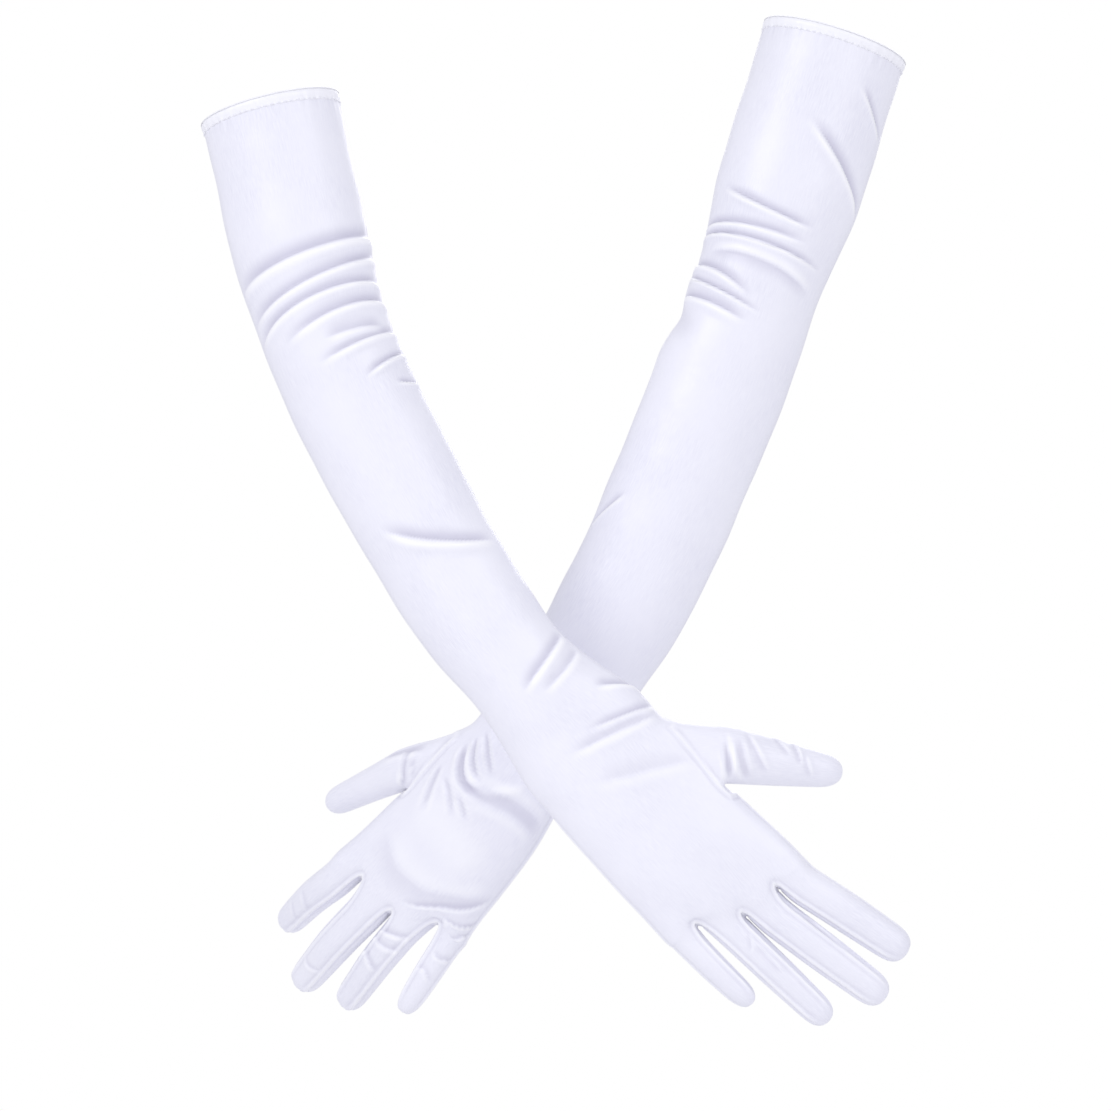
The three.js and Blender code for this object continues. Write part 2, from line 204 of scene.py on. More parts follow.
def slice_centre(points, start, end, share, side, reach):
    """The middle of what the CAD points hold in a slice across the line from start to end."""
    along = unit(end - start)
    centre = start + share * (end - start)
    near = points[np.abs((points - centre) @ along) < reach]
    for axis in (unit(side - (side @ along) * along), unit(np.cross(along, side))):
        offsets = (near - centre) @ axis
        centre = centre + axis * (offsets.max() + offsets.min()) / 2
    return centre


def smoothstep(x):
    x = np.clip(x, 0, 1)
    return x * x * (3 - 2 * x)


class Path:
    """A smooth line through points, measured along its own length."""

    def __init__(self, points, steps=80):
        ends = [2 * points[0] - points[1], *points, 2 * points[-1] - points[-2]]
        line = []
        for a, b, c, d in zip(ends, ends[1:], ends[2:], ends[3:]):
            line += [self.between(a, b, c, d, t) for t in np.linspace(0, 1, steps, endpoint=False)]
        self.line = np.array([*line, points[-1]])
        steps_along = np.linalg.norm(np.diff(self.line, axis=0), axis=1)
        self.lengths = np.concatenate([[0], np.cumsum(steps_along)])
        self.length = self.lengths[-1]

    @staticmethod
    def between(a, b, c, d, t):
        """A centripetal Catmull-Rom curve, from b at t 0 to c at t 1."""
        knots = np.cumsum([0, *(math.sqrt(np.linalg.norm(q - p)) for p, q in ((a, b), (b, c), (c, d)))])
        u = knots[1] + t * (knots[2] - knots[1])

        def mix(p, q, low, high):
            return p * (high - u) / (high - low) + q * (u - low) / (high - low)

        p1, p2, p3 = (mix(p, q, knots[i], knots[i + 1]) for i, (p, q) in enumerate(((a, b), (b, c), (c, d))))
        q1, q2 = mix(p1, p2, knots[0], knots[2]), mix(p2, p3, knots[1], knots[3])
        return mix(q1, q2, knots[1], knots[2])

    def at(self, s):
        inside = np.clip(s, 0, self.length)
        point = np.array([np.interp(inside, self.lengths, self.line[:, k]) for k in range(3)]).T
        return point + (s - inside) * self.tangent(inside)

    def tangent(self, s):
        low, high = max(s - 3 * MM, 0), min(s + 3 * MM, self.length)
        start, end = (
            np.array([np.interp(x, self.lengths, self.line[:, k]) for k in range(3)]) for x in (low, high)
        )
        return unit(end - start)

    def nearest(self, point):
        return self.lengths[np.argmin(np.linalg.norm(self.line - point, axis=1))]


def cage_scale(columns):
    """Subdivision pulls a ring of this many columns inwards; a cage ring is made larger by this."""
    return 6 / (4 + 2 * math.cos(math.tau / columns))


class Arm:
    """A glove's sleeve and hand: a smooth centre line with a frame and half sizes all along it."""

    def __init__(self, name):
        self.name = name
        self.handed = 1 if name == "right" else -1
        elbow, wrist = pivot(f"{name}_elbow"), pivot(f"{name}_wrist")
        low, high = (np.array(corner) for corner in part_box(f"{name}_cuff_hem"))
        hem = (low + high) / 2
        cuff = hem + unit(hem - elbow) * HEM_MIDDLE
        forearm = cad_points(f"{name}_forearm_back_panel", f"{name}_forearm_palm_panel")
        side = self.handed * np.cross(VIEWER, unit(wrist - elbow))
        middles = [slice_centre(forearm, elbow, wrist, share, side, 16 * MM) for share in (0.35, 0.65)]
        self.knuckles = np.mean([pivot(f"{name}_{f}_knuckle") for f in FINGERS], axis=0)
        self.path = Path([cuff, elbow, *middles, wrist, self.knuckles])
        self.elbow, self.wrist = self.path.nearest(elbow), self.path.nearest(wrist)
        self.end = self.path.length
        self.split = (self.elbow + self.wrist) / 2
        along = self.path.tangent(self.wrist)
        level = unit(self.handed * np.cross(VIEWER, along))
        wrist_side = self.handed * np.array(joint(f"{name}_wrist")["axis"])
        self.roll = math.atan2(np.cross(level, wrist_side) @ along, level @ wrist_side)
        stations = {
            "cuff": 0,
            "above elbow": self.elbow * 0.6,
            "elbow": self.elbow,
            "forearm": self.elbow + 55 * MM,
            "lower forearm": self.elbow + 0.63 * (self.wrist - self.elbow),
            "narrowest": self.wrist - 62 * MM,
            "wrist": self.wrist - 8 * MM,
            "palm": self.wrist + 45 * MM,
            "knuckles": self.end,
        }
        self.stations = np.array(list(stations.values()))
        self.sizes = np.array([GIRTHS[name][station] for station in stations]) * MM

    def size(self, s):
        s = np.clip(s, 0, self.end)
        i = np.clip(np.searchsorted(self.stations, s) - 1, 0, len(self.stations) - 2)
        low, high = self.stations[i], self.stations[i + 1]
        share = smoothstep((s - low) / (high - low))[..., None]
        return self.sizes[i] * (1 - share) + self.sizes[i + 1] * share

    def frame(self, s):
        """(centre, along, side towards the thumb, back of the hand) at a length along the arm."""
        along = self.path.tangent(np.clip(s, 0, self.end))
        side = unit(self.handed * np.cross(VIEWER, along))
        roll = self.roll * smoothstep((s - self.elbow - 60 * MM) / (self.wrist - self.elbow - 60 * MM))
        side = side * math.cos(roll) + np.cross(along, side) * math.sin(roll)
        return self.path.at(s), along, side, self.handed * np.cross(along, side)


class Digit:
    """A finger or thumb: a centre line from its joint to its tip, taken from the CAD."""

    def __init__(self, arm, name):
        prefix = f"{arm.name}_{name}"
        self.name = name
        self.joint = joint(f"{prefix}_base" if name == "thumb" else f"{prefix}_knuckle")
        self.pivot = np.array(self.joint["pos_m"])
        self.handed = arm.handed
        self.side = arm.handed * np.array(self.joint["axis"])
        own = [f"{prefix}_back_panel", f"{prefix}_palm_panel"]
        points = cad_points(*([prefix] if name == "thumb" else own))
        far = points[np.argmax(np.linalg.norm(points - self.pivot, axis=1))]
        middles = [slice_centre(points, self.pivot, far, share, self.side, 5 * MM) for share in (0.35, 0.7)]
        end = middles[-1] + unit(middles[-1] - middles[0]) * np.linalg.norm(far - middles[-1])
        self.path = Path([self.pivot, *middles, end])
        self.widths = np.array(DIGIT_WIDTHS[arm.name][name]) * MM
        self.before = THUMB_ROOT if name == "thumb" else FINGER_ROOT

    def frame(self, s):
        along = self.path.tangent(np.clip(s, 0, self.path.length))
        side = unit(self.side - (self.side @ along) * along)
        return self.path.at(s), along, side, self.handed * np.cross(along, side)

    def half_width(self, s):
        whole = self.before + self.path.length
        share = np.clip((s + self.before) / whole, 0, 1)
        width = np.interp(share, (0, 0.5, 1), self.widths)
        into_tip = np.clip((s - self.path.length + TIP) / TIP, 0, 1)
        return width * np.sqrt(np.maximum(1 - into_tip**2, 0.12))


class Cage:
    """The quads of one glove before subdivision. Each corner has (length along its limb, turn round it)."""

    def __init__(self):
        self.points, self.faces, self.places, self.zones, self.seams = [], [], [], [], set()

    def add(self, point):
        self.points.append(np.array(point, float))
        return len(self.points) - 1

    def face(self, corners, places, zone):
        self.faces.append(corners)
        self.places += places
        self.zones.append(zone)

    def bridge(self, first, second, first_s, second_s, zone, skip=()):
        """Quads between two rings of the same length, but for the columns to skip."""
        count = len(first)
        for k in range(count):
            after = (k + 1) % count
            if k not in skip:
                low, high = k / count, (k + 1) / count
                places = [
                    (first_s[k], low),
                    (first_s[after], high),
                    (second_s[after], high),
                    (second_s[k], low),
                ]
                self.face([first[k], first[after], second[after], second[k]], places, zone)

    def cap(self, ring, centre, ring_s, centre_s, zone):
        count = len(ring)
        for k in range(0, count, 2):
            corners = [ring[k], ring[k + 1], ring[(k + 2) % count], centre]
            places = [(ring_s, (k + step) / count) for step in range(3)]
            self.face(corners, [*places, (centre_s, (k + 1) / count)], zone)

    def seam(self, a, b):
        self.seams.add((min(a, b), max(a, b)))


def ring_point(limb_frame, half_width, half_depth, theta):
    centre, _, side, back = limb_frame
    return centre + side * half_width * math.cos(theta) + back * half_depth * math.sin(theta)


def sleeve_stations(arm):
    """Where the sleeve's rings are: evenly spaced, and closer at the elbow."""
    elbow_start, elbow_end = arm.elbow - 50 * MM, arm.elbow + 55 * MM
    wrist_start = arm.wrist - 30 * MM
    spans = [
        (STITCH_LINE - 1 * MM, STITCH_LINE + 3 * MM, 2 * MM),
        (STITCH_LINE + 3 * MM, elbow_start, SLEEVE_ROW),
        (elbow_start, elbow_end, ELBOW_ROW),
        (elbow_end, wrist_start, SLEEVE_ROW),
        (wrist_start, arm.wrist - 3 * MM, ELBOW_ROW),
    ]
    stations = []
    for low, high, row in spans:
        stations += list(np.linspace(low, high, max(2, round((high - low) / row)), endpoint=False))
    return [*stations, arm.wrist - 3 * MM]


def knuckle_ring(arm, digits):
    """The points of the last ring of the hand, column by column."""
    _, along, side, back = arm.frame(arm.end)
    at = {}
    for name in FINGERS:
        offset = digits[name].pivot - arm.knuckles
        at[name] = (offset @ along, offset @ side, digits[name].widths[0])
    top = []
    for i, name in enumerate(FINGERS):
        ahead, across, width = at[name]
        top.append((ahead - 9 * MM, across, width * 1.12))
        if name != "little":
            next_ahead, next_across, next_width = at[FINGERS[i + 1]]
            edge = (across - width + next_across + next_width) / 2
            crotch = (ahead + next_ahead) / 2 - CROTCH[arm.name][i]
            top.append((crotch - 3 * MM, edge, (width + next_width) / 2 * 0.8))
    first, last = at["index"], at["little"]
    top.insert(0, (first[0] - 11 * MM, first[1] + first[2] * 0.82, first[2] * 0.85))
    top.append((last[0] - 9 * MM, last[1] - last[2] * 0.82, last[2] * 0.85))
    thumb_side = (first[0] - 12 * MM, first[1] + first[2], 0)
    little_side = (last[0] - 9 * MM, last[1] - last[2] * 1.12, 0)
    bottom = [(a, c, -h) for a, c, h in reversed(top)]
    columns = [thumb_side, *top, little_side, *bottom]
    return [arm.knuckles + along * a + side * c + back * h for a, c, h in columns]


def build_sleeve(cage, arm, digits):
    """The sleeve and hand, and the loop of points that the thumb starts from. Returns (last ring, loop)."""
    scale = cage_scale(RING)
    start, end = (arm.wrist + s for s in THUMB_HOLE)
    hole_rows = list(np.linspace(start, end, THUMB_ROWS + 1))
    stations = sleeve_stations(arm) + hole_rows
    last = knuckle_ring(arm, digits)
    after = [(end + (arm.end - 11 * MM - end) * share) for share in (0.4, 0.75)]
    stations += after
    rings = []
    for s in stations:
        half_width, half_depth = arm.size(np.array(s)) * scale
        opening = smoothstep((s - start + HOLE_RISE) / HOLE_RISE)
        opening *= smoothstep((end + HOLE_FALL - s) / HOLE_FALL)
        ring = []
        for k in range(RING):
            theta = math.tau * k / RING
            if k in (1, RING - 1):
                theta += HOLE_PARTING * opening * (1 if k == 1 else -1)
            point = ring_point(arm.frame(s), half_width, half_depth, theta)
            share = smoothstep((s - end) / (arm.end - end))
            point = point + (last[k] - point) * 0.8 * share if s > end else point
            ring.append(cage.add(point))
        rings.append(ring)
    rings.append([cage.add(p) for p in last])
    first_hole = len(sleeve_stations(arm))
    lengths = [[s] * RING for s in stations]
    lengths.append([arm.end + float((p - arm.knuckles) @ arm.path.tangent(arm.end)) for p in last])
    for i, (a, b) in enumerate(zip(rings, rings[1:])):
        in_hole = first_hole <= i < first_hole + THUMB_ROWS
        zone = ARM if stations[i] < arm.split else HAND
        cage.bridge(a, b, lengths[i], lengths[i + 1], zone, skip=(0, RING - 1) if in_hole else ())
        for k in (0, RING // 2):
            if not (in_hole and k == 0):
                cage.seam(a[k], b[k])
    rows = rings[first_hole : first_hole + THUMB_ROWS + 1]
    loop = [rows[0][0]]
    loop += [row[1] for row in rows]
    loop.append(rows[-1][0])
    loop += [row[RING - 1] for row in reversed(rows)]
    return rings[-1], loop


def build_digit(cage, digit, base, stations, zone, seams):
    """A digit's rings from its base ring of columns to a closed tip. Seams are the columns that have one."""
    columns = len(base)
    scale = cage_scale(columns)
    rings = [base]
    for s in stations:
        half = digit.half_width(s) * scale
        ring = []
        for k in range(columns):
            point = ring_point(digit.frame(s), half, half * DIGIT_DEPTH, math.tau * k / columns)
            ring.append(cage.add(point))
        rings.append(ring)
    along = digit.path.tangent(0)
    lengths = [[float((cage.points[k] - digit.pivot) @ along) for k in base]]
    lengths += [[s] * columns for s in stations]
    for i, (a, b) in enumerate(zip(rings, rings[1:])):
        cage.bridge(a, b, lengths[i], lengths[i + 1], zone)
        for k in seams:
            cage.seam(a[k], b[k])
    centre = cage.add(digit.path.at(digit.path.length))
    cage.cap(rings[-1], centre, stations[-1], digit.path.length, zone)


def digit_stations(digit, start):
    end = digit.path.length
    rows = max(3, round((end - TIP - start) / DIGIT_ROW))
    return [*np.linspace(start, end - TIP, rows), end - 0.5 * TIP, end - 0.16 * TIP]


def build_fingers(cage, arm, digits, ring):
    """The four fingers from the hand's last ring. Neighbours share the points of the crotch between them."""
    _, along, side, _ = arm.frame(arm.end)
    webs = []
    for i in range(3):
        top, bottom = cage.points[ring[3 + 2 * i]], cage.points[ring[RING - 3 - 2 * i]]
        webs.append(cage.add((top + bottom) / 2 + along * 4 * MM))
    mids = [ring[0], *webs, ring[RING // 2]]
    for i, name in enumerate(FINGERS):
        top = [ring[1 + 2 * i], ring[2 + 2 * i], ring[3 + 2 * i]]
        bottom = [ring[RING - 3 - 2 * i], ring[RING - 2 - 2 * i], ring[RING - 1 - 2 * i]]
        base = [mids[i], *top, mids[i + 1], *bottom]
        seams = [0] if name == "index" else [1, 7]
        seams += [4] if name == "little" else [3, 5]
        stations = digit_stations(digits[name], -2.5 * MM)
        build_digit(cage, digits[name], base, stations, 1 + i, seams)
    for i in range(3):
        cage.seam(ring[3 + 2 * i], webs[i])
        cage.seam(webs[i], ring[RING - 3 - 2 * i])


def build_cage(arm, digits):
    cage = Cage()
    ring, loop = build_sleeve(cage, arm, digits)
    build_fingers(cage, arm, digits, ring)
    for a, b in zip(loop, [*loop[1:], loop[0]]):
        cage.seam(a, b)
    thumb = digits["thumb"]
    build_digit(cage, thumb, loop, digit_stations(thumb, -9 * MM), THUMB_ZONE, ())
    return cage


class Surface:
    """A glove's subdivided cage: points, quads, each quad's zone, and each corner's place on its limb."""

    def __init__(self, cage, outwards):
        mesh = bpy.data.meshes.new("cage")
        faces = [corners if outwards else corners[::-1] for corners in cage.faces]
        places = np.array(cage.places).reshape(-1, 4, 2)
        if not outwards:
            places = places[:, ::-1]
        mesh.from_pydata([tuple(p) for p in cage.points], [], faces)
        for _ in range(max(cage.zones) + 1):
            mesh.materials.append(None)
        mesh.polygons.foreach_set("material_index", cage.zones)
        mesh.uv_layers.new(name="place").data.foreach_set("uv", places.ravel())
        for edge in mesh.edges:
            edge.use_seam = (min(edge.vertices), max(edge.vertices)) in cage.seams
        cage_object = bpy.data.objects.new("cage", mesh)
        bpy.context.scene.collection.objects.link(cage_object)
        modifier = cage_object.modifiers.new("subdivide", "SUBSURF")
        modifier.levels = modifier.render_levels = LEVELS
        modifier.uv_smooth = "NONE"
        fine = cage_object.evaluated_get(bpy.context.evaluated_depsgraph_get()).to_mesh()
        self.points = self.read(fine.vertices, "co", 3)
        self.quads = self.read(fine.loops, "vertex_index", 1, int).reshape(-1, 4)
        self.zones = self.read(fine.polygons, "material_index", 1, int)
        self.places = self.read(fine.uv_layers["place"].data, "uv", 2).reshape(-1, 4, 2)
        edges = self.read(fine.edges, "vertices", 2, int)
        self.seam = np.unique(edges[self.read(fine.edges, "use_seam", 1, bool)])
        bpy.data.objects.remove(cage_object)
        bpy.data.meshes.remove(mesh)

    @staticmethod
    def read(items, attribute, width, kind=float):
        values = np.zeros(len(items) * width, kind)
        items.foreach_get(attribute, values)
        return values if width == 1 else values.reshape(-1, width)

    def normals(self):
        a, b, c, d = (self.points[self.quads[:, k]] for k in range(4))
        face = np.cross(c - a, d - b)
        normals = np.zeros_like(self.points)
        for k in range(4):
            np.add.at(normals, self.quads[:, k], face)
        return normals / np.maximum(np.linalg.norm(normals, axis=1, keepdims=True), 1e-12)

    def in_zones(self, *zones):
        """(indices of the points in these zones, the place of each)."""
        chosen = np.isin(self.zones, zones)
        points, first = np.unique(self.quads[chosen], return_index=True)
        return points, self.places[chosen].reshape(-1, 2)[first]


# ---- Folds ----


def fold_line(start, end, bow, steps=32):
    """A line between two places, (mm along, degrees round) each, that bows along the limb by so many mm."""
    share = np.linspace(0, 1, steps)[:, None]
    straight = np.array(start) * (1 - share) + np.array(end) * share
    return straight + np.array([bow, 0]) * 4 * share * (1 - share)


def beside(places, line):
    """Each place's distance to the right of a line, and how far along it that is, from 0 to 1."""
    best = np.full(len(places), np.inf)
    right, share = np.zeros(len(places)), np.zeros(len(places))
    steps = np.linalg.norm(np.diff(line, axis=0), axis=1)
    before, whole = 0.0, steps.sum()
    for a, b, step in zip(line, line[1:], steps):
        ahead = (b - a) / step
        offset = places - a
        run = np.clip(offset @ ahead, 0, step)
        gap = np.linalg.norm(offset - run[:, None] * ahead, axis=1)
        closer = gap < best
        best[closer] = gap[closer]
        turn = np.sign(offset[:, 0] * ahead[1] - offset[:, 1] * ahead[0])
        right[closer] = (gap * turn)[closer]
        share[closer] = (before + run[closer]) / whole
        before += step
    return right, share


def fold_shape(kind, x):
    """(height, shade) across a fold, x widths to the right of its line.

    A fold sinks slowly towards its line and steps up to a ridge on the right. A hollow has a rim on both
    sides. The shade is painted into the colour: 1 where it is painted darkest, below 0 a painted highlight."""
    if kind == "hollow":
        rim = np.exp(-(((np.abs(x) - 1.25) / 0.45) ** 2))
        deep = np.exp(-((x / 0.65) ** 4))
        return 0.5 * rim - deep, deep - 0.5 * rim
    if kind == "ridge":
        crest = np.exp(-((x / 0.6) ** 2))
        return crest - 0.3 * np.exp(-(((np.abs(x) - 1.5) / 0.6) ** 2)), -0.7 * crest
    step = smoothstep((x + 0.1) / 0.5)
    sink, ridge = np.exp(-((x / 1.0) ** 2)), np.exp(-(((x - 0.45) / 0.85) ** 2))
    dark = np.exp(-((x / 0.85) ** 2)) * (1 - smoothstep((x + 0.05) / 0.3))
    return step * ridge - (1 - step) * 0.75 * sink, dark - 0.8 * step * np.exp(-(((x - 0.4) / 0.5) ** 2))


def faded(share, end):
    """1 along the middle of a line, and less over the given share at each end of it."""
    return smoothstep(share / end) * smoothstep((1 - share) / end)


def add_fold(places, radius, heights, shades, start, end, bow, width, height, kind="fold"):
    """Adds one fold of cloth between two places, with its painted shade and highlight. Its bow, width and
    height are in mm.
    """
    flat = np.column_stack([places[:, 0], places[:, 1] * math.tau * radius])
    line = fold_line(start, end, bow) * [MM, math.radians(radius)]
    turn = math.tau * radius
    middle = line[:, 1].mean()
    flat[:, 1] = (flat[:, 1] - middle + turn / 2) % turn - turn / 2 + middle
    width = width * MM
    near = np.all((flat > line.min(0) - 3 * width) & (flat < line.max(0) + 3 * width), axis=1)
    right, share = beside(flat[near], line)
    shape, shade = fold_shape(kind, right / width)
    heights[near] += height * MM * shape * faded(share, 0.36)
    shades[near] += np.clip(height / FULL_SHADE, -0.4, 1) * shade * faded(share, 0.26)


# Folds of the sleeve and hand: the two ends, (mm along, degrees round) each, the bow, width and height in mm,
# and the kind. Drawn towards the little finger, a fold has its ridge on the fingers' side.
# Each fold is also painted into the satin's colour: painted shade in its groove or hollow, a painted
# highlight on its ridge or rims, and painted shade along a ridge whose height is below 0.
FOLDS = {
    "right": [
        # the gathers of the elbow, from the upper arm down
        ((75, -35), (90, 185), -4, 5.5, 1.9),
        ((86, -30), (107, 180), -5, 4.2, 1.5),
        ((105, -25), (117, 180), -11, 3.8, 1.5),
        ((118, -25), (119, 135), -9, 4.2, 1.7),
        ((125, 25), (122, 95), -2, 5, 0.9),
        ((132, -20), (132, 110), -4, 3.6, 1.4),
        ((143, -5), (146, 75), -3, 2.8, 1.5),
        ((159, 0), (153, 45), 1, 2.4, 1.2),
        # the long fold across the forearm
        ((247, 15), (212, 130), 5, 5, 1.8),
        # the wrist
        ((308, 5), (318, 105), -1, 4.4, 1.4),
        ((319, 10), (324, 90), 1, 4.2, 0.8),
        ((356, -10), (338, 50), 0, 4.4, 1.1),
        ((366, -5), (351, 85), 2, 3.2, 1.0),
        ((370, 10), (354, 110), 1, 4.8, 0.7),
        ((400, 20), (371, 110), 2, 7, 0.4),
    ],
    "left": [
        # the two slanting folds below the cuff
        ((22, 120), (46, 170), 2, 3, 1.0),
        ((46, 85), (87, 175), 1, 4.4, 1.6),
        # the gathers of the elbow, from the upper arm down
        ((90, 25), (100, 125), 2, 3.2, 1.6),
        ((113, -10), (108, 125), -3, 3.4, 1.5),
        ((119, -20), (118, 155), -5, 2.6, 1.7),
        ((131, 150), (126, 20), -6, 5, 0.8),
        ((135, -15), (141, 90), -6, 3.4, 1.7),
        ((139, -10), (147, 105), -2, 2.4, 1.4),
        ((150, -5), (153, 95), -3, 3.8, 1.4),
        ((152, -70), (166, 60), 0, 13, -2.2, "ridge"),
        # the forearm
        ((280, 10), (251, 50), 0, 3.4, 0.9),
        # the crescents round the wrist, and what runs out of them
        ((406, 40), (419, 95), 10, 3.0, 1.7, "hollow"),
        ((400, 45), (417, 85), 4, 1.9, 1.0, "hollow"),
        ((395, 50), (412, 90), 0, 1.9, 0.9, "hollow"),
        ((426, 75), (402, 125), 1, 3.6, 0.8, "ridge"),
        ((428, 70), (421, 170), -8, 5.6, 0.75, "hollow"),
        ((450, 60), (424, 35), 0, 2.6, 0.8, "hollow"),
        ((441, 85), (428, 50), -2, 2.2, 0.7, "hollow"),
        ((437, 95), (430, 75), -1, 1.8, 0.7, "hollow"),
        # the back of the hand and the knuckles; the first, broad ridge paints a highlight over the back of
        # the hand
        ((450, 40), (456, 135), -7, 19, 0.6, "ridge"),
        ((452, 165), (464, 35), 17, 11, 0.45),
        ((489, 90), (456, 170), 3, 3.2, 0.9),
        ((487, 125), (472, 180), 0, 2.6, 0.8),
        ((494, 130), (480, 185), 0, 2.4, 0.6),
    ],
}

# Folds of the fingers and thumbs, from their joints, as above.
DIGIT_FOLDS = {
    "right": {
        "thumb": [
            ((-11, 25), (-6, 145), -1, 2.2, 1.1, "hollow"),
            ((-6, 40), (4, 140), -2, 2.6, 0.7, "hollow"),
            ((-2, 15), (13, 120), -2, 2.8, 0.6),
            ((13, 0), (22, 65), -1, 2.6, 0.6),
            ((23, 5), (28, 90), 0, 2.4, 0.7),
            ((29, 45), (35, 120), -1, 2.6, 0.5),
        ],
        "middle": [((8, 20), (40, 40), -6, 2.4, 0.5)],
        "ring": [((6, 70), (30, 80), 0, 2.4, 0.4), ((2, 60), (10, 110), 2, 2.2, 0.4)],
    },
    "left": {
        "thumb": [
            ((-11, 10), (-6, 150), -3, 2.8, 0.9),
            ((-19, 30), (-15, 120), -1, 2.4, 0.6),
            ((-28, 35), (2, 20), 0, 3.4, 0.8, "hollow"),
        ],
        "index": [((20, 45), (24, 130), -2, 3.2, 0.4), ((31, 50), (38, 125), -1, 2.8, 0.4)],
        "middle": [((42, 50), (40, 125), 3, 3, 0.5)],
        "ring": [
            ((6, 30), (-3, 140), -1, 3, 0.8),
            ((10, 25), (4, 150), 2, 3.2, 0.6),
            ((20, 20), (24, 130), -1, 3, 0.7),
        ],
        "little": [((4, 70), (2, 175), 2, 2.6, 0.6), ((16, 40), (19, 140), -3, 2.8, 0.5)],
    },
}


def pucker(turn):
    """The uneven gathers that the hem's stitching draws up, from -1 to 1, at a turn round the arm."""
    wide = np.sin(math.tau * (31 * turn + 0.35 * np.sin(math.tau * 5 * turn)))
    narrow = np.sin(math.tau * (47 * turn + 0.3 * np.sin(math.tau * 7 * turn)))
    return 0.6 * wide + 0.4 * narrow


def rumple(places):
    """The slow unevenness of cloth over an arm, from -1 to 1."""
    s, turn = places[:, 0] / MM, places[:, 1] * math.tau
    return np.sin(s / 9 + 2 * np.sin(turn + 1)) * np.sin(2 * turn + s / 31) * np.sin(s / 23 + turn)


def fold_cloth(surface, arm, digits):
    """Moves the points out and in along their normals. Returns each point's painted shade and highlight, from
    its folds, puckers and seams.
    """
    heights, shades = np.zeros(len(surface.points)), np.zeros(len(surface.points))
    seam_share = np.ones(len(surface.points))
    limbs = [((ARM, HAND), SLEEVE_RADIUS, FOLDS[arm.name], None)]
    for zone, digit in enumerate(DIGITS, 1):
        limbs.append(((zone,), DIGIT_RADIUS, DIGIT_FOLDS[arm.name].get(digit, []), digits[digit].path.length))
    for zones, radius, folds, tip in limbs:
        points, places = surface.in_zones(*zones)
        height, shade = np.zeros(len(points)), np.zeros(len(points))
        for fold in folds:
            add_fold(places, radius, height, shade, *fold)
        heights[points] += height
        shades[points] += shade
        if tip:
            seam_share[points] = 0.3 + 0.7 * smoothstep((tip - places[:, 0]) / (1.5 * TIP))
    points, places = surface.in_zones(ARM, HAND)
    below = np.maximum(places[:, 0] - STITCH_LINE, 0)
    heights[points] += PUCKER * pucker(places[:, 1]) * np.exp(-below / (5 * MM))
    heights[points] += RUMPLE * rumple(places) * smoothstep(below / (20 * MM))
    # Painted shade in the hollows of the puckers below the hem.
    shades[points] += 0.25 * np.maximum(-pucker(places[:, 1]), 0) * np.exp(-below / (4 * MM))
    tree = KDTree(len(surface.seam))
    for i, index in enumerate(surface.seam):
        tree.insert(surface.points[index], i)
    tree.balance()
    to_seam = np.array([tree.find(p)[2] for p in surface.points]) / SEAM_WIDTH
    raised, sunk = np.exp(-(to_seam**2)), np.exp(-(((to_seam - 1.9) / 0.8) ** 2))
    seam_share[points] = 0.25 + 0.75 * smoothstep((places[:, 0] - arm.wrist) / (12 * MM))
    heights += SEAM_HEIGHT * seam_share * (raised - 0.6 * sunk)
    # Painted highlight along each raised seam, and painted shade in the sunk cloth beside it.
    shades += seam_share**2 * (0.35 * sunk - 0.6 * raised)
    surface.points += surface.normals() * heights[:, None]
    return shades


# ---- Pieces ----


def link(name, mesh):
    piece = bpy.data.objects.new(name, mesh)
    bpy.context.scene.collection.objects.link(piece)
    return piece


def cloth_piece(name, surface, chosen, shades, radius, material):
    """The chosen quads as a closed layer of cloth, shaded as part of the whole glove."""
    quads = surface.quads[chosen]
    used, compact = np.unique(quads, return_inverse=True)
    quads = compact.reshape(-1, 4)
    normals = surface.normals()[used]
    outer = surface.points[used]
    inner = outer - normals * CLOTH
    sides = np.concatenate([quads[:, [k, (k + 1) % 4]] for k in range(4)])
    pairs = {(a, b) for a, b in sides.tolist()}
    rim = np.array([(a, b) for a, b in sides.tolist() if (b, a) not in pairs])
    count = len(used)
    rims = np.column_stack([rim[:, 1], rim[:, 0], rim[:, 0] + count, rim[:, 1] + count])
    faces = np.concatenate([quads, quads[:, ::-1] + count, rims])
    mesh = bpy.data.meshes.new(name)
    mesh.from_pydata(np.concatenate([outer, inner]).tolist(), [], faces.tolist())
    places = surface.places[chosen] * [1, math.tau * radius]
    rim_places = np.zeros((len(rims), 4, 2))
    uv = np.concatenate([places, places[:, ::-1], rim_places]).reshape(-1, 2)
    mesh.uv_layers.new(name="cloth").data.foreach_set("uv", uv[:, ::-1].ravel())
    # The 'fold' attribute carries the painted shade and highlight into the satin's colour.
    attribute = mesh.attributes.new("fold", "FLOAT", "POINT")
    attribute.data.foreach_set("value", np.tile(shades[used], 2).astype(np.float32))
    mesh.polygons.foreach_set("use_smooth", np.ones(len(faces), bool))
    mesh.materials.append(material)
    mesh.update()
    mesh.normals_split_custom_set_from_vertices(np.concatenate([normals, -normals]).tolist())
    return link(name, mesh)


def stretch(at, along, lengths):
    """The two ends of a stretch round a joint, from the joint and the way the limb runs there."""
    before, after = lengths
    return at - along * before * MM, at + along * after * MM


def turns(surface, chosen, start, end):
    """For each chosen quad, whether any of its corners lies past start, towards end."""
    share = (surface.points[surface.quads[chosen]] - start) @ (end - start)
    return (share > 0).any(axis=1)


